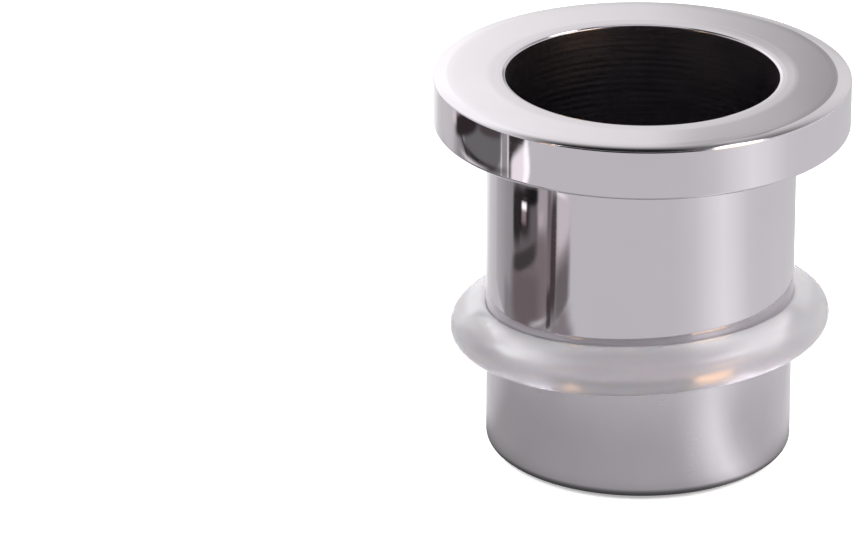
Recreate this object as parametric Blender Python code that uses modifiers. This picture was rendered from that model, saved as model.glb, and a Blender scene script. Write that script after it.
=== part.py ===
"""Single-flare ear tunnel: a flanged steel tube and the silicone ring that keeps it in the lobe.

The tube stands on its plain end with its flange on top, as it stands on a table. Metres, +Z up the
bore, origin at the centre of the end that it stands on. Both pieces are turned shapes: a closed
profile in the XZ plane, swept round Z.
"""

import math

import bpy

# Driving dimensions in metres. The gauge is the size that the tunnel is sold by.
GAUGE_DIAMETER = 0.0160
WALL = 0.00095
LENGTH = 0.02044
FLANGE_DIAMETER = 0.0215
FLANGE_THICKNESS = 0.00269

# The plain end is turned a hair under the gauge, so that it starts through the lobe. The ring
# covers the change.
TAIL_REDUCTION = 0.00005
TAIL_REDUCTION_TOP = 0.0080
TAIL_REDUCTION_BOTTOM = 0.0060

# The face is crowned by polishing: flat in the middle, and a tenth of a millimetre lower at the
# bore's lip and at the rim. Each point is a radius and its depth below the flat band.
FACE_CROWN = (
    (0.00720, 0.000045),
    (0.00742, 0.000028),
    (0.00792, 0.0),
    (0.00980, 0.0),
    (0.01005, 0.000005),
    (0.01040, 0.000031),
)
LIP_DEPTH = 0.000081
RIM_DEPTH = 0.000093
LIP_SLOPE = 13.5
RIM_SLOPE = 10.0

# Edges.
RIM_TOP_RADIUS = 0.00007
RIM_LOW_RADIUS = 0.00022
NECK_FILLET = 0.00020
BORE_LIP_RADIUS = 0.00005
TAIL_EDGE_WIDTH = 0.00070
TAIL_EDGE_HEIGHT = 0.00060
TAIL_BORE_RADIUS = 0.00010

# The ring's section is a half round, flat where it grips the tube and tallest close to it. It was
# rolled on by hand and sits a few degrees askew.
RING_HALF_WIDTH = 0.00145
RING_HALF_HEIGHT = 0.00127
RING_FLATTENING = 0.00105
RING_CLEARANCE = 0.00022
RING_HEIGHT = 0.00692
RING_FRONT_RAISE = math.radians(3.6)
RING_RIGHT_RAISE = math.radians(2.8)

# Fineness of the turned shapes.
BODY_STEPS = 96
RING_STEPS = 72
CORNER_STEPS = 4
SECTION_STEPS = 16
MERGE = 0.000001

# Derived sizes.
BARREL_RADIUS = GAUGE_DIAMETER / 2
BORE_RADIUS = BARREL_RADIUS - WALL
FLANGE_RADIUS = FLANGE_DIAMETER / 2
TAIL_RADIUS = BARREL_RADIUS - TAIL_REDUCTION
FLANGE_UNDERSIDE = LENGTH - FLANGE_THICKNESS


def clear_scene():
    """Removes what the scene holds."""
    for obj in list(bpy.data.objects):
        bpy.data.objects.remove(obj, do_unlink=True)


def make_collection(name):
    """Adds a collection to the scene."""
    collection = bpy.data.collections.new(name)
    bpy.context.scene.collection.children.link(collection)
    return collection


def make_material(name, colour, roughness, metallic):
    """A Principled material with one colour, roughness and metallic value."""
    material = bpy.data.materials.new(name)
    material.use_nodes = True
    shader = material.node_tree.nodes["Principled BSDF"]
    shader.inputs["Base Color"].default_value = (*colour, 1.0)
    shader.inputs["Roughness"].default_value = roughness
    shader.inputs["Metallic"].default_value = metallic
    return material


def corner(centre, radius, start, end, steps=CORNER_STEPS):
    """Points of an arc round centre, a pair (r, z), from one angle to another in degrees."""
    angles = [math.radians(start + (end - start) * i / steps) for i in range(steps + 1)]
    return [(centre[0] + radius * math.cos(a), centre[1] + radius * math.sin(a)) for a in angles]


def turn(name, profile, steps, collection, material):
    """Sweeps a closed profile of (r, z) points once round Z. Its outer side runs downwards."""
    count = len(profile)
    mesh = bpy.data.meshes.new(name)
    mesh.from_pydata([(r, 0.0, z) for r, z in profile], [(i, (i + 1) % count) for i in range(count)], [])
    obj = bpy.data.objects.new(name, mesh)
    collection.objects.link(obj)
    mesh.materials.append(material)
    screw = obj.modifiers.new("turn", "SCREW")
    screw.axis = "Z"
    screw.angle = math.tau
    screw.steps = steps
    screw.render_steps = steps
    screw.use_merge_vertices = True
    screw.merge_threshold = MERGE
    screw.use_smooth_shade = True
    return obj


def tube_profile():
    """The wall's section: face, rim, underside, barrel and tail down the outside, then up the bore."""
    rim_top = (FLANGE_RADIUS - RIM_TOP_RADIUS, LENGTH - RIM_DEPTH - RIM_TOP_RADIUS)
    rim_low = (FLANGE_RADIUS - RIM_LOW_RADIUS, FLANGE_UNDERSIDE + RIM_LOW_RADIUS)
    neck = (BARREL_RADIUS + NECK_FILLET, FLANGE_UNDERSIDE - NECK_FILLET)
    tail_out = (TAIL_RADIUS - TAIL_EDGE_WIDTH, TAIL_EDGE_WIDTH)
    tail_stretch = TAIL_EDGE_HEIGHT / TAIL_EDGE_WIDTH
    tail_in = (BORE_RADIUS + TAIL_BORE_RADIUS, TAIL_BORE_RADIUS)
    lip = (BORE_RADIUS + BORE_LIP_RADIUS, LENGTH - LIP_DEPTH - BORE_LIP_RADIUS)
    points = [(radius, LENGTH - depth) for radius, depth in FACE_CROWN]
    points += corner(rim_top, RIM_TOP_RADIUS, 90 - RIM_SLOPE, 0)
    points += corner(rim_low, RIM_LOW_RADIUS, 0, -90)
    points += corner(neck, NECK_FILLET, 90, 180)
    points += [(BARREL_RADIUS, TAIL_REDUCTION_TOP), (TAIL_RADIUS, TAIL_REDUCTION_BOTTOM)]
    points += [(r, z * tail_stretch) for r, z in corner(tail_out, TAIL_EDGE_WIDTH, 0, -90)]
    points += corner(tail_in, TAIL_BORE_RADIUS, -90, -180)
    points += corner(lip, BORE_LIP_RADIUS, 180, 90 + LIP_SLOPE)
    return points


def ring_profile():
    """The ring's section, centred on its own plane: an ellipse cut off where it presses on the tube."""
    centre = BARREL_RADIUS + RING_HALF_WIDTH - RING_FLATTENING
    inner = BARREL_RADIUS + RING_CLEARANCE
    cut = math.degrees(math.acos((inner - centre) / RING_HALF_WIDTH))
    angles = [math.radians(cut - 2 * cut * i / SECTION_STEPS) for i in range(SECTION_STEPS + 1)]
    return [
        (centre + RING_HALF_WIDTH * math.cos(a), RING_HALF_HEIGHT * math.sin(a)) for a in angles
    ]


def build_tunnel_body(collection):
    """Flange, barrel and plain end, turned from one bar."""
    steel = make_material("polished_steel", (0.72, 0.70, 0.72), 0.08, 1.0)
    return turn("tunnel_body", tube_profile(), BODY_STEPS, collection, steel)


def build_o_ring(collection):
    """The retaining ring, askew on the barrel below the lobe's gap."""
    silicone = make_material("clear_silicone", (0.86, 0.86, 0.88), 0.35, 0.0)
    ring = turn("o_ring", ring_profile(), RING_STEPS, collection, silicone)
    ring.location = (0.0, 0.0, RING_HEIGHT)
    ring.rotation_euler = (-RING_FRONT_RAISE, -RING_RIGHT_RAISE, 0.0)
    return ring


def main():
    clear_scene()
    collection = make_collection("ear_tunnel")
    build_tunnel_body(collection)
    build_o_ring(collection)


main()
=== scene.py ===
# %% [markdown]
# A steel ear tunnel, and how its looks are made
#
# The object is worn in a stretched earlobe. It is one turned steel tube with a wide flat flange,
# mirror polished, and a milky silicone ring pushed onto its plain end. A mirror has no colour of
# its own to speak of: what the eye reads on it is the room. So half of this script is the two
# shapes, and the other half is a small studio that gives them something to reflect.

# %% Load the fixed frame
import math

import bpy
import numpy as np
from mathutils import Matrix, Vector


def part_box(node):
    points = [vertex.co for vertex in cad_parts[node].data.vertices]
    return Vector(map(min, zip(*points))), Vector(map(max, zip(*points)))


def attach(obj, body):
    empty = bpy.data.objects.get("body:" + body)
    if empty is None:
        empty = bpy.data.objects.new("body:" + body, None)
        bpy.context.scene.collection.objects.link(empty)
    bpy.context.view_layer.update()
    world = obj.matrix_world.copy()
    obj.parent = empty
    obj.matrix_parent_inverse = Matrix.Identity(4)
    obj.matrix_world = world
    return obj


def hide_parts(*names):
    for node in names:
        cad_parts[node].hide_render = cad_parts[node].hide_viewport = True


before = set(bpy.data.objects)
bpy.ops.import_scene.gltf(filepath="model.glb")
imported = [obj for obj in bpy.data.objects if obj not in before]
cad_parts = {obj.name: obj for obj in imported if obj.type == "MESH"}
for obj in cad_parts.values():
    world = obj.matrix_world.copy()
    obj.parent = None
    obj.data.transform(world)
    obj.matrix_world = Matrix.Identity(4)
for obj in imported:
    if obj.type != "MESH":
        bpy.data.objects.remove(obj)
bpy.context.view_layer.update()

# %% [markdown]
# The sizes come in two kinds. What the frame can tell is read from it, so this file can't drift away
# from the solids: the flange's radius and the length are the box of the tube. The rest, such as the
# bore and the thickness of the flange, repeats the driving dimensions of the part, in metres.

# %% Sizes
MM = 0.001
tube_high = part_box("tunnel_body")[1]
ring_low, ring_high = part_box("o_ring")
LENGTH = tube_high.z
FLANGE_RADIUS = tube_high.x
FLANGE_THICKNESS = 2.69 * MM
BARREL_RADIUS = 8.0 * MM
TAIL_RADIUS = 7.95 * MM
BORE_RADIUS = 7.05 * MM
RING_HEIGHT = (ring_low.z + ring_high.z) / 2
print(f"length {LENGTH / MM:.2f} mm, flange {2 * FLANGE_RADIUS / MM:.2f} mm")
print(f"ring at {RING_HEIGHT / MM:.2f} mm")

# %% [markdown]
# The camera comes first, because every later choice is judged through it. A product photograph is
# taken from far off with a long lens. The lens is given in pixels of focal length for a frame
# 856 pixels wide, which turns into millimetres on a 36 mm sensor. The camera looks down, and a
# little to the left of the object, which puts the object in the right half of the frame without
# any lens shift. Its numbers come from a fit to the outlines of the turned edges. With so long a
# lens a nearer camera with a shorter one would fit almost as well.

# %% Camera
FRAME_WIDTH_PX = 856
FOCAL_LENGTH_PX = 6579.0
SENSOR_MM = 36.0
CAMERA_DISTANCE = 315.05 * MM
CAMERA_HEIGHT = 142.09 * MM
CAMERA_DOWN = math.radians(22.8155)
CAMERA_LEFT = math.radians(2.0008)


def aim(down, left):
    """Rotation of a camera that looks along +Y, turned left round Z and then tipped down."""
    forward = Vector((-math.sin(left) * math.cos(down), math.cos(left) * math.cos(down), -math.sin(down)))
    right = Vector((math.cos(left), math.sin(left), 0.0))
    up = right.cross(forward)
    return Matrix((right, up, -forward)).transposed().to_4x4()


camera_data = bpy.data.cameras.new("studio_camera")
camera_data.sensor_width = SENSOR_MM
camera_data.lens = FOCAL_LENGTH_PX * SENSOR_MM / FRAME_WIDTH_PX
camera_data.clip_start = 10 * MM
camera_data.clip_end = 10.0
camera = bpy.data.objects.new("studio_camera", camera_data)
camera_place = Matrix.Translation((0.0, -CAMERA_DISTANCE, CAMERA_HEIGHT))
camera.matrix_world = camera_place @ aim(CAMERA_DOWN, CAMERA_LEFT)
bpy.context.scene.collection.objects.link(camera)
bpy.context.scene.camera = camera
print(f"lens {camera_data.lens:.0f} mm")

# %% [markdown]
# A turned piece is a profile carried round an axis. The profile here is a closed loop of corners in
# the (r, z) plane, each with its own rounding. Walking the loop clockwise, the way the wall's
# outside runs down and its bore runs up, the outside is always on the left hand. That gives one
# short formula for every rounding, hollow or proud: the direction of travel turns steadily from
# the one straight to the next, and the surface normal is that direction turned a quarter left.

# %% Profiles
ARC_STEPS = 10
STRAIGHT_STEPS = 6


def rounded_profile(corners):
    """Points and outward normals of a closed clockwise loop of (r, z, rounding) corners.

    At each corner the heading turns from the incoming to the outgoing one. The normal is
    the heading turned 90 degrees left, and the point is the arc's centre plus or minus the
    rounding times the normal: plus where the loop turns right, a proud edge, and minus where it
    turns left, a hollow one. Straights between arcs get points bunched towards their ends.
    """
    table = np.array(corners, float)
    spots, roundings = table[:, :2], table[:, 2]
    step = np.roll(spots, -1, axis=0) - spots
    heading = np.arctan2(step[:, 1], step[:, 0])
    arcs = []
    for i, (spot, rounding) in enumerate(zip(spots, roundings)):
        turn = (heading[i] - heading[i - 1] + np.pi) % (2 * np.pi) - np.pi
        angle = heading[i - 1] + turn * np.linspace(0, 1, ARC_STEPS + 1)
        normal = np.stack([-np.sin(angle), np.cos(angle)], axis=1)
        start = spot - np.array([np.cos(angle[0]), np.sin(angle[0])]) * rounding * np.tan(abs(turn) / 2)
        side = -np.sign(turn)
        centre = start - side * rounding * normal[0]
        arcs.append((centre + side * rounding * normal, normal))
    share = 0.5 - 0.5 * np.cos(np.pi * np.arange(1, STRAIGHT_STEPS) / STRAIGHT_STEPS)
    points, normals = [], []
    for (arc, arc_normal), (following, _) in zip(arcs, arcs[1:] + arcs[:1]):
        straight = arc[-1] + share[:, None] * (following[0] - arc[-1])
        points += [arc, straight]
        normals += [arc_normal, np.repeat(arc_normal[-1:], len(straight), axis=0)]
    return np.concatenate(points), np.concatenate(normals)


def grid_mesh(name, points, normals):
    """A closed mesh from a grid of points that wraps round in both of its directions."""
    rows, columns = points.shape[:2]
    index = np.arange(rows * columns).reshape(rows, columns)
    below, beside = np.roll(index, -1, axis=0), np.roll(index, -1, axis=1)
    opposite = np.roll(below, -1, axis=1)
    quads = np.stack([index, beside, opposite, below], axis=-1).reshape(-1, 4)
    mesh = bpy.data.meshes.new(name)
    mesh.vertices.add(rows * columns)
    mesh.vertices.foreach_set("co", points.astype(np.float32).ravel())
    mesh.loops.add(quads.size)
    mesh.loops.foreach_set("vertex_index", quads.astype(np.int32).ravel())
    mesh.polygons.add(len(quads))
    mesh.polygons.foreach_set("loop_start", np.arange(0, quads.size, 4, dtype=np.int32))
    mesh.polygons.foreach_set("use_smooth", np.ones(len(quads), bool))
    mesh.update(calc_edges=True)
    mesh.validate()
    if normals is not None:
        mesh.normals_split_custom_set_from_vertices(normals.reshape(-1, 3).tolist())
    obj = bpy.data.objects.new(name, mesh)
    bpy.context.scene.collection.objects.link(obj)
    print(f"{name}: {rows} x {columns} grid, {2 * len(quads)} triangles")
    return obj


# %% Carry a profile round Z
def revolve(name, profile, profile_normals, turns):
    """Each profile point (r, z) goes to (r cos a, r sin a, z) for evenly spaced angles a."""
    angle = 2 * np.pi * np.arange(turns) / turns
    spoke = np.stack([np.cos(angle), np.sin(angle)], axis=1)

    def carried(pairs):
        flat = spoke[:, None, :] * pairs[None, :, :1]
        upright = np.broadcast_to(pairs[None, :, 1:], flat.shape[:2] + (1,))
        return np.concatenate([flat, upright], axis=2)

    return grid_mesh(name, carried(profile), carried(profile_normals))


# %% [markdown]
# The tube itself. Its face isn't just a flat washer. The polishing wheel has crowned it: only a band
# in the middle is flat, and on both sides of it the surface turns away, by three degrees towards
# the bore and by ten at the rim. Inside the crown lies the lip of the bore, a narrow cone. All this
# is a tenth of a millimetre deep and none of it would show on a matt part. On a mirror it does,
# because a surface turned by three degrees reflects a place six degrees away.

# %% The steel tube
TUBE_TURNS = 384
FACE = [
    # radius, depth below the flat band and rounding in mm, from the bore to the rim
    (BORE_RADIUS / MM, 0.081, 0.05),
    (7.20, 0.045, 0.30),
    (7.42, 0.028, 4.00),
    (7.92, 0.000, 6.00),
    (9.80, 0.000, 18.0),
    (10.05, 0.005, 2.00),
    (10.40, 0.031, 5.50),
    (FLANGE_RADIUS / MM, 0.093, 0.07),
]
TAIL_EDGE_WIDTH = 0.42 * MM
TAIL_EDGE_HEIGHT = 0.36 * MM

tube_corners = [(radius * MM, LENGTH - depth * MM, rounding * MM) for radius, depth, rounding in FACE] + [
    (FLANGE_RADIUS, LENGTH - FLANGE_THICKNESS, 0.22 * MM),
    (BARREL_RADIUS, LENGTH - FLANGE_THICKNESS, 0.20 * MM),
    (BARREL_RADIUS, 8.0 * MM, 1.0 * MM),
    (TAIL_RADIUS, 6.0 * MM, 1.0 * MM),
    (TAIL_RADIUS, TAIL_EDGE_HEIGHT, 0.52 * MM),
    (TAIL_RADIUS - TAIL_EDGE_WIDTH, 0.0, 0.75 * MM),
    (BORE_RADIUS, 0.0, 0.10 * MM),
]
tube_profile, tube_normals = rounded_profile(tube_corners)
tube = revolve("steel_tube", tube_profile, tube_normals, TUBE_TURNS)
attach(tube, "root")
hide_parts("tunnel_body")

# %% [markdown]
# The ring is soft silicone, stretched over the tube. Only its outside can be seen, so its section
# is inferred: flat where it grips and tallest close to the steel. A round cord would hang over its
# own contact line, and the barrel would mirror a broader dark band above it. It was rolled on by
# hand, so it sits a few degrees askew: higher at the front and at the right. A sheared ring is used
# rather than a turned one, because a soft ring keeps hold of the barrel all the way round.

# %% The silicone ring
RING_TURNS = 360
RING_SECTION = 48
RING_HALF_WIDTH = 1.45 * MM
RING_HALF_HEIGHT = 1.27 * MM
RING_FLATTENING = 1.05 * MM
RING_SEAT = 0.01 * MM
RING_FRONT_RAISE = math.tan(math.radians(3.6))
RING_RIGHT_RAISE = math.tan(math.radians(2.8))


def ring_points(round_angle, section_angle):
    """An ellipse carried round the tube, never nearer its axis than the seat.

    r = centre + half width * cos(s), clipped at the seat; z = height + half height * sin(s)
    + slope across * x - slope along * y. Both half sizes swell and shrink by up to one part in a
    hundred round the ring, as a soft ring does.
    """
    a, s = round_angle[:, None], section_angle[None, :]
    swell = 1 + 0.006 * np.sin(3 * a + 0.8) + 0.004 * np.sin(7 * a + 2.1)
    centre = BARREL_RADIUS + RING_HALF_WIDTH - RING_FLATTENING
    r = np.maximum(centre + RING_HALF_WIDTH * swell * np.cos(s), BARREL_RADIUS + RING_SEAT)
    x, y = r * np.cos(a), r * np.sin(a)
    z = RING_HEIGHT + RING_HALF_HEIGHT * swell * np.sin(s) + RING_RIGHT_RAISE * x - RING_FRONT_RAISE * y
    return np.stack([x, y, z], axis=2)


ring = grid_mesh(
    "silicone_ring",
    ring_points(
        2 * np.pi * np.arange(RING_TURNS) / RING_TURNS,
        -2 * np.pi * np.arange(RING_SECTION) / RING_SECTION,
    ),
    None,
)
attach(ring, "root")
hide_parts("o_ring")


# %% [markdown]
# Materials are built from nodes. A few helpers keep the recipes short: one adds a node and sets its
# values, one runs a number through a smooth step, and one wraps the pattern coordinates round a
# turned part, so that marks run round it the way a lathe and a polishing wheel leave them.

# %% Helpers for materials
def new_material(name):
    """An empty node material: itself, its Principled shader, and functions that add and link nodes."""
    material = bpy.data.materials.new(name)
    material.use_nodes = True
    tree = material.node_tree

    def add(kind, **settings):
        node = tree.nodes.new(kind)
        for key, value in settings.items():
            socket = node.inputs.get(key.replace("_", " ").title())
            if socket is not None:
                socket.default_value = value
            else:
                setattr(node, key, value)
        return node

    return material, tree.nodes["Principled BSDF"], add, tree.links.new


def math_node(add, link, operation, first, second):
    """One Math node on two inputs, each a socket or a number."""
    node = add("ShaderNodeMath", operation=operation)
    for socket, value in zip(node.inputs, (first, second)):
        if isinstance(value, (int, float)):
            socket.default_value = value
        else:
            link(value, socket)
    return node.outputs["Value"]


def smooth_step(add, link, value, low, high, start=0.0, end=1.0):
    """Start below low, end above high and a smooth S between them."""
    node = add("ShaderNodeMapRange", interpolation_type="SMOOTHSTEP")
    link(value, node.inputs["Value"])
    for name, number in (("From Min", low), ("From Max", high), ("To Min", start), ("To Max", end)):
        node.inputs[name].default_value = number
    return node.outputs["Result"]


def round_coordinates(add, link):
    """Object x, y, z, the radius from Z, and the profile length z minus radius, as sockets."""
    place = add("ShaderNodeTexCoord").outputs["Object"]
    split = add("ShaderNodeSeparateXYZ")
    link(place, split.inputs["Vector"])
    x, y, z = split.outputs
    flat = add("ShaderNodeCombineXYZ")
    link(x, flat.inputs["X"])
    link(y, flat.inputs["Y"])
    spoke = add("ShaderNodeVectorMath", operation="LENGTH")
    link(flat.outputs["Vector"], spoke.inputs[0])
    radius = spoke.outputs["Value"]
    return place, x, y, z, radius, math_node(add, link, "SUBTRACT", z, radius)


def turned_noise(add, link, x, y, profile, across, along):
    """Noise drawn out round the axis: across waves a metre along the profile, along round it."""
    vector = add("ShaderNodeCombineXYZ")
    link(math_node(add, link, "MULTIPLY", x, along), vector.inputs["X"])
    link(math_node(add, link, "MULTIPLY", y, along), vector.inputs["Y"])
    link(math_node(add, link, "MULTIPLY", profile, across), vector.inputs["Z"])
    noise = add("ShaderNodeTexNoise", scale=1.0, detail=2.0)
    link(vector.outputs["Vector"], noise.inputs["Vector"])
    return noise.outputs["Fac"]


def bump(add, link, height, depth, below=None):
    """A bump of depth metres for a height of 1, on top of another bump's normal."""
    node = add("ShaderNodeBump", distance=depth)
    link(height, node.inputs["Height"])
    if below is not None:
        link(below, node.inputs["Normal"])
    return node.outputs["Normal"]


# %% [markdown]
# The steel has three finishes. The flange and the barrel that show in the lobe are polished to a
# mirror. The plain end below the ring was left satin from fine abrasive, with patches where it was
# handled. The bore keeps the faint rings of the boring tool. All three share one colour, a neutral
# grey with a breath of lilac.

# %% Steel
STEEL = (0.505, 0.478, 0.512)
SATIN_TOP = 7.2 * MM
SATIN_BOTTOM = 5.6 * MM
POLISH_ROUGHNESS = 0.035
SATIN_ROUGHNESS = 0.19
BORE_ROUGHNESS = 0.20
GROOVES_PER_M = 2800.0
WAVE_DEPTH = 0.004 * MM
HAIRLINE_DEPTH = 0.0015 * MM
BRUSH_DEPTH = 0.0006 * MM
GROOVE_DEPTH = 0.0015 * MM


def steel_material():
    """Mirror above the ring, patchy satin below it, tool rings in the bore, hairlines and waves."""
    material, shader, add, link = new_material("polished_steel")
    shader.inputs["Metallic"].default_value = 1.0
    place, x, y, z, radius, profile = round_coordinates(add, link)
    satin = smooth_step(add, link, z, SATIN_BOTTOM, SATIN_TOP, 1.0, 0.0)
    bore = smooth_step(add, link, radius, BORE_RADIUS + 0.02 * MM, BORE_RADIUS + 0.06 * MM, 1.0, 0.0)
    hairlines = turned_noise(add, link, x, y, profile, 9000.0, 60.0)
    clouds = add("ShaderNodeTexNoise", scale=260.0, detail=3.0)
    link(place, clouds.inputs["Vector"])
    cloud = clouds.outputs["Fac"]

    tone = add("ShaderNodeMix", data_type="RGBA")
    tone.inputs["A"].default_value = (*[0.96 * c for c in STEEL], 1.0)
    tone.inputs["B"].default_value = (*[1.04 * c for c in STEEL], 1.0)
    link(cloud, tone.inputs["Factor"])
    link(tone.outputs["Result"], shader.inputs["Base Color"])

    polish = smooth_step(add, link, cloud, 0.35, 0.75, POLISH_ROUGHNESS, POLISH_ROUGHNESS + 0.025)
    rough = smooth_step(add, link, satin, 0.0, 1.0, 0.0, SATIN_ROUGHNESS - POLISH_ROUGHNESS)
    bored = smooth_step(add, link, bore, 0.0, 1.0, 0.0, BORE_ROUGHNESS - POLISH_ROUGHNESS)
    grain = smooth_step(add, link, hairlines, 0.3, 0.7, -0.01, 0.02)
    total = math_node(add, link, "ADD", polish, rough)
    total = math_node(add, link, "ADD", total, bored)
    smudges = turned_noise(add, link, x, y, z, 120.0, 700.0)
    patchy = smooth_step(add, link, smudges, 0.35, 0.65, -0.03, 0.05)
    total = math_node(add, link, "ADD", total, math_node(add, link, "MULTIPLY", patchy, satin))
    link(math_node(add, link, "ADD", total, grain), shader.inputs["Roughness"])

    waves = add("ShaderNodeTexNoise", scale=180.0, detail=1.0)
    link(place, waves.inputs["Vector"])
    normal = bump(add, link, waves.outputs["Fac"], WAVE_DEPTH)
    coarse = smooth_step(add, link, satin, 0.0, 1.0, 0.04, 0.15)
    marks = math_node(add, link, "MULTIPLY", hairlines, math_node(add, link, "MAXIMUM", coarse, bore))
    normal = bump(add, link, marks, HAIRLINE_DEPTH, normal)
    brushed = turned_noise(add, link, x, y, profile, 45000.0, 300.0)
    normal = bump(add, link, math_node(add, link, "MULTIPLY", brushed, satin), BRUSH_DEPTH, normal)
    grooves = add("ShaderNodeMath", operation="SINE")
    link(math_node(add, link, "MULTIPLY", z, GROOVES_PER_M * 2 * math.pi), grooves.inputs[0])
    rings = math_node(add, link, "MULTIPLY", grooves.outputs["Value"], bore)
    link(bump(add, link, rings, GROOVE_DEPTH, normal), shader.inputs["Normal"])
    return material


tube.data.materials.append(steel_material())
print(f"roughness: mirror {POLISH_ROUGHNESS}, satin {SATIN_ROUGHNESS}, bore {BORE_ROUGHNESS}")


# %% [markdown]
# The ring is clear silicone with a milky cast. Light enters it, is scattered a little and leaves
# somewhere else, so it takes its tone from what surrounds it: nearly white where it stands against
# the pale table, greyer in front of the steel. Most of the light goes straight through, the rest is
# scattered below the skin, and red travels farther in it than blue.

# %% Silicone
SILICONE = (0.80, 0.78, 0.81)
SILICONE_INDEX = 1.41
CLEAR_SHARE = 0.82
SCATTER_DEPTH = 2.0 * MM
SCATTER_BY_COLOUR = (1.0, 0.85, 0.7)
SKIN_DEPTH = 0.0015 * MM


def silicone_material():
    """Mostly clear and partly scattering, with a soft skin and slight clouds."""
    material, shader, add, link = new_material("clear_silicone")
    place = add("ShaderNodeTexCoord").outputs["Object"]
    clouds = add("ShaderNodeTexNoise", scale=420.0, detail=3.0)
    link(place, clouds.inputs["Vector"])
    tone = add("ShaderNodeMix", data_type="RGBA")
    tone.inputs["A"].default_value = (*[0.97 * c for c in SILICONE], 1.0)
    tone.inputs["B"].default_value = (*[1.03 * c for c in SILICONE], 1.0)
    link(clouds.outputs["Fac"], tone.inputs["Factor"])
    link(tone.outputs["Result"], shader.inputs["Base Color"])
    link(smooth_step(add, link, clouds.outputs["Fac"], 0.3, 0.7, 0.16, 0.23), shader.inputs["Roughness"])
    shader.inputs["IOR"].default_value = SILICONE_INDEX
    shader.inputs["Subsurface Weight"].default_value = 1.0
    shader.inputs["Subsurface Radius"].default_value = SCATTER_BY_COLOUR
    shader.inputs["Subsurface Scale"].default_value = SCATTER_DEPTH
    shader.inputs["Transmission Weight"].default_value = CLEAR_SHARE
    skin = add("ShaderNodeTexNoise", scale=2600.0, detail=2.0)
    link(place, skin.inputs["Vector"])
    link(bump(add, link, skin.outputs["Fac"], SKIN_DEPTH), shader.inputs["Normal"])
    return material


ring.data.materials.append(silicone_material())
print(f"silicone: {CLEAR_SHARE:.0%} clear, refractive index {SILICONE_INDEX}")

# %% [markdown]
# The studio. A mirror shows its surroundings, so the surroundings are built where the mirror looks.
# Seen from this camera an upright wall of the tube looks down at the table, the flat face looks at
# whatever stands far behind, about 23 degrees up, and a rounded edge looks at everything at once.
# A board is a sheet that glows as it is painted and that only reflections see: it shades nothing
# and lights nothing, like the white and black cards round a photographer's table, but without
# their shadows. The brightness in the tables below was led by the photograph's own reflections: a
# place on a board was changed until the steel showed about the same tone there. So the tables suit
# the photograph's view best, and from other sides the steel mirrors them less well.


# %% Helpers for boards
def stand_in_studio(obj):
    """Links an object that belongs to the studio and not to the jewel."""
    bpy.context.scene.collection.objects.link(obj)
    return obj


def only_reflected(obj):
    """The object shows in reflections and nowhere else."""
    obj.visible_camera = False
    obj.visible_diffuse = False
    obj.visible_transmission = False
    obj.visible_volume_scatter = False
    obj.visible_shadow = False
    return obj


def glowing_paint():
    """A material that glows with the colour attribute named light."""
    material = bpy.data.materials.new("glowing_paint")
    material.use_nodes = True
    nodes, links = material.node_tree.nodes, material.node_tree.links
    nodes.clear()
    paint = nodes.new("ShaderNodeAttribute")
    paint.attribute_name = "light"
    emission = nodes.new("ShaderNodeEmission")
    links.new(paint.outputs["Color"], emission.inputs["Color"])
    links.new(emission.outputs["Emission"], nodes.new("ShaderNodeOutputMaterial").inputs["Surface"])
    return material


GLOWING_PAINT = glowing_paint()


def board(name, points, light):
    """An open sheet from a grid of points that glows with a grid of colours."""
    rows, columns = points.shape[:2]
    index = np.arange(rows * columns).reshape(rows, columns)
    quads = np.stack([index[:-1, :-1], index[:-1, 1:], index[1:, 1:], index[1:, :-1]], axis=-1).reshape(-1, 4)
    mesh = bpy.data.meshes.new(name)
    mesh.from_pydata(points.reshape(-1, 3), [], quads)
    colour = np.concatenate([light, np.ones(light.shape[:2] + (1,))], axis=2)
    mesh.color_attributes.new("light", "FLOAT_COLOR", "POINT").data.foreach_set("color", colour.ravel())
    mesh.materials.append(GLOWING_PAINT)
    return only_reflected(stand_in_studio(bpy.data.objects.new(name, mesh)))


def tinted(brightness, warmth):
    """Brightness as a colour, redder for a positive warmth, towards a purple brown."""
    brightness = np.asarray(brightness, float)[..., None]
    return brightness * np.array([1 + warmth, 1.0, 1 + 0.1 * warmth])


def paint_leaves(light, across, up, leaves):
    """Paints soft-edged leaves over a grid of colours, each a rounded box with one brightness.

    For a leaf the distance is the fourth root of (u^4 + v^4), where u and v are the offsets from
    its middle in half widths and half heights, turned by its lean. Its cover falls smoothly from 1 to
    0 where the distance passes 1, over twice its softness.
    """
    for name, middle, height, half_width, half_height, lean, softness, brightness, warmth in leaves:
        turn = math.radians(lean)
        right, rise = across - middle * MM, up - height * MM
        u = (right * math.cos(turn) + rise * math.sin(turn)) / (half_width * MM)
        v = (rise * math.cos(turn) - right * math.sin(turn)) / (half_height * MM)
        distance = (u ** 4 + v ** 4) ** 0.25
        ramp = np.clip((1 + softness - distance) / (2 * softness), 0, 1)
        cover = (ramp * ramp * (3 - 2 * ramp))[..., None]
        light = light + cover * (tinted(brightness, warmth) - light)
    return light


# %% [markdown]
# Table and light. The table is pale and matt, and glows faintly by itself, which lifts the ring
# from below. Two wide softboxes stand at the left and the right and light the scene from the sides,
# so that the bore stays dark and the ring is brightest where it bulges out. A weak fill stands high
# in front. Reflections don't see these lights: they see the boards instead.

# %% Table and softboxes
TABLE_SIDE = 3.0
TABLE_GLOW = 0.35


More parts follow.
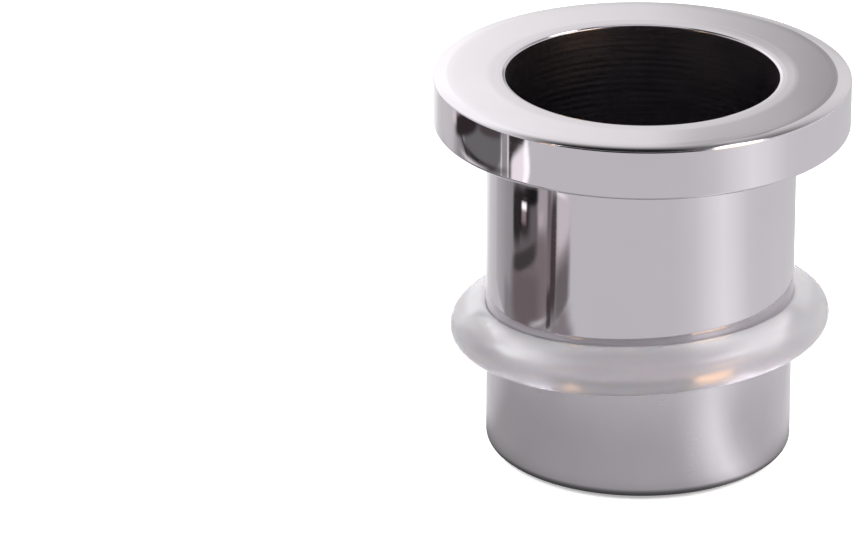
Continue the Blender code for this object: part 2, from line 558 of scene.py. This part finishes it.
def pale_table():
    """A square sheet of pale matt card with a faint tooth."""
    half = TABLE_SIDE / 2
    mesh = bpy.data.meshes.new("table")
    corners = [(-half, -half, 0), (half, -half, 0), (half, half, 0), (-half, half, 0)]
    mesh.from_pydata(corners, [], [(0, 1, 2, 3)])
    material, shader, add, link = new_material("pale_card")
    place = add("ShaderNodeTexCoord").outputs["Object"]
    tooth = add("ShaderNodeTexNoise", scale=900.0, detail=2.0)
    link(place, tooth.inputs["Vector"])
    tone = add("ShaderNodeMix", data_type="RGBA")
    tone.inputs["A"].default_value = (0.865, 0.865, 0.87, 1.0)
    tone.inputs["B"].default_value = (0.885, 0.885, 0.89, 1.0)
    link(tooth.outputs["Fac"], tone.inputs["Factor"])
    link(tone.outputs["Result"], shader.inputs["Base Color"])
    shader.inputs["Roughness"].default_value = 0.9
    shader.inputs["Specular IOR Level"].default_value = 0.1
    shader.inputs["Emission Color"].default_value = (1.0, 1.0, 1.0, 1.0)
    shader.inputs["Emission Strength"].default_value = TABLE_GLOW
    link(bump(add, link, tooth.outputs["Fac"], 0.02 * MM), shader.inputs["Normal"])
    mesh.materials.append(material)
    return stand_in_studio(bpy.data.objects.new("table", mesh))


table = pale_table()


def area_light(name, width, height, location, power):
    """A rectangular soft light at location that faces the object."""
    data = bpy.data.lights.new(name, "AREA")
    data.shape = "RECTANGLE"
    data.size = width
    data.size_y = height
    data.energy = power
    obj = bpy.data.objects.new(name, data)
    facing = (Vector((0, 0, LENGTH / 2)) - Vector(location)).to_track_quat("-Z", "Y")
    obj.matrix_world = Matrix.Translation(location) @ facing.to_matrix().to_4x4()
    bpy.context.scene.collection.objects.link(obj)
    obj.visible_camera = False
    obj.visible_glossy = False
    return obj


SOFTBOX_SIZE = (0.5, 0.4)
SOFTBOX_REACH = 0.42
SOFTBOX_POWER = 3.6
FILL_SIZE = (0.4, 0.3)
FILL_POWER = 0.2
for name, side in (("left_softbox", -1), ("right_softbox", 1)):
    area_light(name, *SOFTBOX_SIZE, (side * SOFTBOX_REACH, 0.02, 0.34), SOFTBOX_POWER)
area_light("high_front_fill", *FILL_SIZE, (0.0, -0.26, 0.45), FILL_POWER)
print(f"softboxes {SOFTBOX_POWER} W each, fill {FILL_POWER} W, table glow {TABLE_GLOW}")

# %% [markdown]
# The floor as the mirror sees it. An upright wall reflects the table, and which part of it depends
# on the bearing alone. So the brightness that shows up on the barrel and the rim as upright bands is
# painted on a flat ring round the object as a function of the bearing: even in front, a bright pool
# at the right, dimmer far round at the right and brighter far round at the left. The plain end
# below the ring looks at the table close by, which lies in the object's own shade, so a second
# brightness holds near the foot.

# %% The mirrored floor
FLOOR_RADII = [7.0, 7.5, 8.0, 8.3, 9, 10, 12, 14, 16, 18, 20, 22, 24, 26, 28, 30, 33, 60, 220]
FLOOR_NEAR = 16.0
FLOOR_FAR = 27.0
FLOOR_LIFT = 0.03 * MM
FLOOR_LEAVES = [
    # name, x, y, half width, half height in mm, lean, softness, brightness, warmth
    ("card shadow", -21.5, -16.5, 3.4, 4.0, 0, 0.35, 0.36, 0.10),
]
FOOT_SHADE = [
    # radius in mm, share of the brightness
    (7.0, 0.08), (7.9, 0.12), (8.4, 0.55), (9.2, 0.95), (10.0, 1.0),
]
FLOOR_BEARINGS = [
    # bearing from -Y towards +X in degrees, brightness near the foot and farther out
    (-90, 0.53, 0.95), (-75, 0.54, 0.947), (-60, 0.52, 0.945), (-45, 0.56, 0.943), (-22, 0.61, 0.94),
    (0, 0.64, 0.94), (18, 0.66, 0.95), (22, 0.68, 0.955), (30, 0.86, 1.00), (37, 1.16, 1.06),
    (45, 1.42, 1.22), (51, 1.18, 1.32), (58, 0.90, 1.42), (68, 0.76, 1.30), (80, 0.78, 1.08),
    (92, 0.84, 1.03), (110, 0.86, 1.01), (130, 0.84, 0.92), (155, 0.77, 0.70), (185, 0.86, 0.82),
    (205, 0.90, 1.15), (213, 0.89, 1.12), (220, 0.88, 0.90), (234, 0.88, 0.84), (244, 0.86, 0.84),
    (255, 0.78, 0.92), (270, 0.53, 0.95),
]


def spokes(bearing):
    """Unit vectors in the table's plane for bearings in degrees, counted from -Y towards +X."""
    turn = np.radians(bearing)
    return np.stack([np.sin(turn), -np.cos(turn), np.zeros_like(turn)], axis=-1)


bearings = np.linspace(-90, 270, 361)
radii = np.array(FLOOR_RADII)
floor_points = MM * radii[None, :, None] * spokes(bearings)[:, None, :] + np.array([0, 0, FLOOR_LIFT])
known, near, far = np.array(FLOOR_BEARINGS, float).T
farness = np.clip((radii - FLOOR_NEAR) / (FLOOR_FAR - FLOOR_NEAR), 0, 1)
floor_light = np.outer(np.interp(bearings, known, near), 1 - farness)
floor_light = floor_light + np.outer(np.interp(bearings, known, far), farness)
known, share = np.array(FOOT_SHADE, float).T
floor_light = floor_light * np.interp(radii, known, share)
floor_paint = paint_leaves(tinted(floor_light, 0.0), floor_points[..., 0], floor_points[..., 1], FLOOR_LEAVES)
board("mirrored_floor", floor_points, floor_paint).visible_transmission = True
print(f"floor brightness {floor_light.min():.2f} to {floor_light.max():.2f}")

# %% [markdown]
# Inside the tube the table is cut off from the light, so the bore mirrors a nearly black floor. It
# is a small round board of its own, a little narrower than the bore.

# %% The dark at the bottom of the bore
BORE_DARK = 0.004
BORE_DARK_RADIUS = 6.9 * MM
dark_points = np.linspace(0, BORE_DARK_RADIUS, 3)[None, :, None] * spokes(bearings)[:, None, :]
dark_light = tinted(np.full(dark_points.shape[:2], BORE_DARK), 0.05)
board("bore_bottom", dark_points + np.array([0, 0, FLOOR_LIFT]), dark_light)
print(f"bore bottom: brightness {BORE_DARK}, radius {BORE_DARK_RADIUS / MM:.1f} mm")

# %% [markdown]
# The board behind is what the flat face reflects. It is bright at the left and darkens towards the
# right, then brightens again at once past a hard edge. That edge is why the crowned rim shows as a
# light band at the right, and the fall of light is why the inner crown does. High up the board is
# dark in the middle, which draws the thin dark line along the front of the flange.

# %% The board behind
BACK_Y = 150.0 * MM
BACK_TINT = np.array([1.0, 1.0, 0.985])
BACK_STOPS = [
    # x in mm, brightness
    (-150, 2.0), (-24, 1.88), (-17, 1.66), (-12.8, 1.53), (-11, 1.49), (-6.5, 1.39), (0, 1.27), (3, 1.13),
    (6.5, 0.94), (9, 0.82), (11, 0.75), (13, 0.65), (15, 0.57), (17.2, 0.56), (18.2, 1.14), (30, 1.20),
    (45, 1.15), (150, 1.0),
]
BACK_HEIGHTS = [
    # z in mm, share of the brightness
    (12, 0.70), (40, 0.76), (50, 0.84), (60, 0.90), (70, 0.94), (80, 1.0), (87, 1.0), (93, 0.94), (100, 0.92),
]
BACK_LEAVES = [
    # name, x, z, half width, half height in mm, lean, softness, brightness, warmth
    ("pale foot", 36.0, 34.0, 28.0, 26.0, 0, 0.25, 0.93, 0.0),
    ("dim patch", 7.5, 91.0, 4.5, 8.0, 0, 0.50, 0.76, 0.0),
    ("pale rise", 16.0, 120.0, 5.0, 10.0, 0, 0.30, 0.92, 0.0),
    ("dim right", 36.0, 160.0, 18.0, 44.0, 0, 0.45, 0.30, 0.0),
    ("dark ceiling", -3.0, 172.0, 24.0, 43.0, -12, 0.45, 0.02, 0.0),
    ("white strip", 26.0, 160.0, 7.0, 18.0, 0, 0.12, 6.0, 0.0),
]
back_across = np.concatenate([np.arange(-150, -40, 5.0), np.arange(-40, 60, 0.5), np.arange(60, 151, 5.0)])
back_x, back_z = np.meshgrid(back_across * MM, np.arange(12, 169, 2.0) * MM)
known, brightness = np.array(BACK_STOPS, float).T
back_light = np.interp(back_x / MM, known, brightness)
known, share = np.array(BACK_HEIGHTS, float).T
back_light = back_light * np.interp(back_z / MM, known, share)
back_paint = paint_leaves(tinted(back_light, 0.0), back_x, back_z, BACK_LEAVES) * BACK_TINT
back_points = np.stack([back_x, np.full_like(back_x, BACK_Y), back_z], axis=-1)
board("back_board", back_points, back_paint)
print(f"back board brightness {back_paint.min():.2f} to {back_paint.max():.2f}")

# %% [markdown]
# At the left the polished walls mirror a grey card with darker and lighter shapes on it. They are
# painted as soft leaves, from the back of the list to the front. Their places were read off the
# photograph's reflections, and their names are only handles. An empty list of leaves leaves a
# plain graded card, and the shapes of the object don't depend on it.

# %% The board at the left
LEFT_X = -24.0 * MM
LEFT_LEAVES = [
    # name, y, z, half width, half height in mm, lean, softness, brightness, warmth
    ("upper right", 11.0, 12.0, 6.0, 2.6, 0, 0.40, 0.90, 0.02),
    ("right foot", 3.8, 1.0, 2.6, 1.3, 0, 0.50, 0.38, 0.02),
    ("card base", -18.6, 3.6, 3.6, 2.4, 0, 0.30, 0.58, 0.10),
    ("beige card", -19.3, 5.8, 3.2, 1.9, 0, 0.35, 0.96, 0.06),
    ("card edge", -17.6, 7.25, 2.7, 0.12, 15, 0.80, 1.50, 0.04),
    ("card foot", -18.5, 1.2, 3.4, 2.0, 0, 0.45, 0.24, 0.08),
    ("strip shade", -13.0, 5.6, 0.9, 3.2, 2, 0.40, 0.22, 0.15),
    ("lower shade", -6.0, 3.2, 7.3, 3.0, 0, 0.30, 0.29, 0.18),
    ("lit panel", -10.3, 7.5, 1.9, 1.3, 4, 0.35, 0.62, 0.10),
    ("warm panel", -9.8, 6.9, 0.9, 0.4, 0, 0.60, 0.74, 0.12),
    ("far strip", -14.75, 4.2, 1.15, 3.8, 6, 0.30, 0.085, 0.28),
    ("strip foot", -12.9, 1.0, 0.9, 1.5, 4, 0.35, 0.08, 0.28),
    ("shadow below", -3.5, 2.2, 5.5, 1.7, 0, 0.35, 0.21, 0.20),
    ("floor sliver", -8.8, 0.8, 2.8, 0.14, 0, 0.60, 0.90, 0.0),
    ("window", -3.6, 6.5, 4.9, 2.35, 0, 0.14, 0.20, 0.12),
    ("window top", -6.0, 8.35, 2.7, 0.55, 0, 0.30, 0.015, 0.20),
    ("window dark", -2.4, 7.4, 3.0, 1.4, 0, 0.40, 0.025, 0.20),
    ("window dark right", 0.0, 7.0, 1.5, 1.6, 0, 0.40, 0.04, 0.15),
    ("window sill", -3.2, 4.6, 4.7, 0.55, -7, 0.30, 0.08, 0.12),
    ("window spark", -3.3, 7.72, 0.95, 0.22, 0, 0.35, 2.6, 0.04),
    ("spark glow", -3.2, 7.1, 0.9, 0.4, 0, 0.60, 0.35, 0.30),
    ("dark corner", -14.4, 13.0, 2.3, 1.25, -9, 0.18, 0.05, 0.20),
    ("dark post", -12.7, 11.8, 0.35, 1.3, 0, 0.35, 0.06, 0.20),
    ("white corner", -16.9, 10.9, 1.2, 1.3, -24, 0.30, 2.0, 0.02),
    ("pale corner", -14.7, 11.0, 1.8, 1.05, -6, 0.30, 1.50, 0.06),
    ("ribbon", -11.2, 12.0, 0.85, 2.2, 0, 0.40, 0.50, 0.05),
    ("ribbon light", -12.0, 12.1, 0.16, 1.6, 0, 0.80, 1.50, 0.04),
    ("ribbon edge", -10.2, 12.2, 0.14, 1.8, 0, 0.80, 1.30, 0.04),
    ("panel", -4.6, 12.9, 5.5, 1.55, 0, 0.06, 0.25, 0.01),
    ("panel cap", -7.0, 13.75, 3.2, 0.45, 3, 0.30, 0.10, 0.25),
    ("panel top", 0.6, 13.35, 4.2, 0.65, -11, 0.25, 0.04, 0.30),
    ("panel edge", -4.6, 11.7, 5.6, 0.16, 4, 0.80, 0.03, 0.20),
    ("panel hook", 0.9, 12.05, 1.7, 0.14, 16, 0.80, 0.04, 0.25),
    ("panel light", -2.0, 11.5, 3.0, 0.10, 1, 0.90, 1.50, 0.03),
    ("warm edge", 5.5, 12.9, 1.0, 0.4, -10, 0.60, 1.00, 0.12),
]
LEFT_BASE = [
    # y in mm, brightness
    (-23, 0.945), (-18.5, 0.945), (-16, 0.75), (-12, 0.55), (-6, 0.45), (2, 0.48), (5, 0.52),
    (8, 0.60), (14, 0.72),
]
left_y, left_z = np.meshgrid(np.arange(-23, 14.1, 0.12) * MM, np.arange(0.1, 15.1, 0.12) * MM)
known, brightness = np.array(LEFT_BASE, float).T
left_base = np.interp(left_y / MM, known, brightness)
left_paint = paint_leaves(tinted(left_base, 0.01), left_y, left_z, LEFT_LEAVES)
board("left_board", np.stack([np.full_like(left_y, LEFT_X), left_y, left_z], axis=-1), left_paint)
print(f"left board: {len(LEFT_LEAVES)} leaves, brightness {left_paint.min():.2f} to {left_paint.max():.2f}")

# %% [markdown]
# Lamps. Small bright sources give the rounded edges their sharp highlights, and two amber ones low
# in front give the ring its warm glints.
# Each is placed by its bearing round the object and by its height as an angle, both seen from the
# middle of the face.

# %% Lamps
WHITE = (1.0, 1.0, 1.0)
AMBER = (1.6, 1.0, 0.45)
LAMPS = [
    # name, bearing, elevation in degrees, distance, width, height in metres, brightness, colour
    ("right_strip", 62, 42, 0.50, 0.26, 0.16, 5.0, WHITE),
    ("bore_lamp", 56, 36, 0.45, 0.04, 0.08, 3.0, WHITE),
    ("right_glint", 100, 69, 0.45, 0.05, 0.03, 14.0, WHITE),
    ("left_glint", -103, 67, 0.45, 0.03, 0.03, 12.0, WHITE),
    ("right_glow", 52, 8, 0.30, 0.15, 0.09, 3.6, AMBER),
    ("left_glow", -50, 14, 0.30, 0.05, 0.05, 3.6, AMBER),
]


def lamp(name, bearing, elevation, distance, width, height, brightness, colour):
    """A small glowing sheet that faces the object, seen in reflections and through the ring."""
    away = spokes(np.array(float(bearing)))
    rise = math.radians(elevation)
    direction = away * math.cos(rise) + np.array([0, 0, math.sin(rise)])
    side = spokes(np.array(bearing + 90.0))
    top = np.cross(direction, side)
    across, up = np.meshgrid(np.linspace(-width / 2, width / 2, 3), np.linspace(-height / 2, height / 2, 3))
    middle = np.array([0, 0, LENGTH]) + distance * direction
    points = middle + across[..., None] * side + up[..., None] * top
    obj = board(name, points, brightness * np.broadcast_to(colour, (3, 3, 3)))
    obj.visible_transmission = True
    return obj


for row in LAMPS:
    lamp(*row)
print("lamps:", [row[0] for row in LAMPS])

# %% [markdown]
# The air of the room. It is pale at the sides and behind, dark behind the camera and dim overhead,
# which draws the thin dark line along the front edge of the flange.

# %% Air
ROOM_BEARINGS = [
    # bearing from -Y towards +X in degrees, brightness
    (-90, 1.15), (-68, 0.7), (-56, 0.05), (30, 0.05), (44, 0.8), (60, 1.05), (120, 1.10),
    (200, 1.15), (270, 1.15),
]
ROOM_HEIGHTS = [
    # sine of the elevation, share of the brightness
    (-1.0, 1.0), (0.75, 1.0), (0.85, 0.35), (0.93, 0.12), (1.0, 0.08),
]


def curve_of(nodes, links, value, low, high, stops):
    """A smooth curve through stops of (reading, result), for a reading between low and high."""
    share = nodes.new("ShaderNodeMapRange")
    share.inputs["From Min"].default_value = low
    share.inputs["From Max"].default_value = high
    curve = nodes.new("ShaderNodeFloatCurve")
    top = max(result for _, result in stops)
    line = curve.mapping.curves[0]
    while len(line.points) < len(stops):
        line.points.new(0.5, 0.5)
    for point, (reading, result) in zip(line.points, stops):
        point.location = ((reading - low) / (high - low), result / top)
        point.handle_type = "AUTO_CLAMPED"
    curve.mapping.update()
    scale = nodes.new("ShaderNodeMath")
    scale.operation = "MULTIPLY"
    scale.inputs[1].default_value = top
    links.new(value, share.inputs["Value"])
    links.new(share.outputs["Result"], curve.inputs["Value"])
    links.new(curve.outputs["Value"], scale.inputs[0])
    return scale.outputs["Value"]


def studio_air():
    """A world whose brightness depends on the bearing and the elevation. The camera sees it pale."""
    world = bpy.data.worlds.new("studio_air")
    world.use_nodes = True
    nodes, links = world.node_tree.nodes, world.node_tree.links
    direction = nodes.new("ShaderNodeTexCoord").outputs["Generated"]
    bearing = nodes.new("ShaderNodeTexGradient")
    bearing.gradient_type = "RADIAL"
    links.new(direction, bearing.inputs["Vector"])
    split = nodes.new("ShaderNodeSeparateXYZ")
    links.new(direction, split.inputs["Vector"])
    around = [(0.25 + degrees / 360, result) for degrees, result in ROOM_BEARINGS]
    product = nodes.new("ShaderNodeMath")
    product.operation = "MULTIPLY"
    links.new(curve_of(nodes, links, bearing.outputs["Fac"], 0.0, 1.0, around), product.inputs[0])
    links.new(curve_of(nodes, links, split.outputs["Z"], -1.0, 1.0, ROOM_HEIGHTS), product.inputs[1])
    background = nodes["Background"]
    background.inputs["Color"].default_value = (0.99, 0.985, 1.0, 1.0)
    links.new(product.outputs["Value"], background.inputs["Strength"])
    pale = nodes.new("ShaderNodeBackground")
    pale.inputs["Color"].default_value = (1.0, 1.0, 1.0, 1.0)
    mix = nodes.new("ShaderNodeMixShader")
    links.new(nodes.new("ShaderNodeLightPath").outputs["Is Camera Ray"], mix.inputs["Fac"])
    links.new(background.outputs["Background"], mix.inputs[1])
    links.new(pale.outputs["Background"], mix.inputs[2])
    links.new(mix.outputs["Shader"], nodes["World Output"].inputs["Surface"])
    return world


bpy.context.scene.world = studio_air()
bpy.context.scene.view_settings.view_transform = "Standard"
print("room brightness by bearing:", ROOM_BEARINGS)
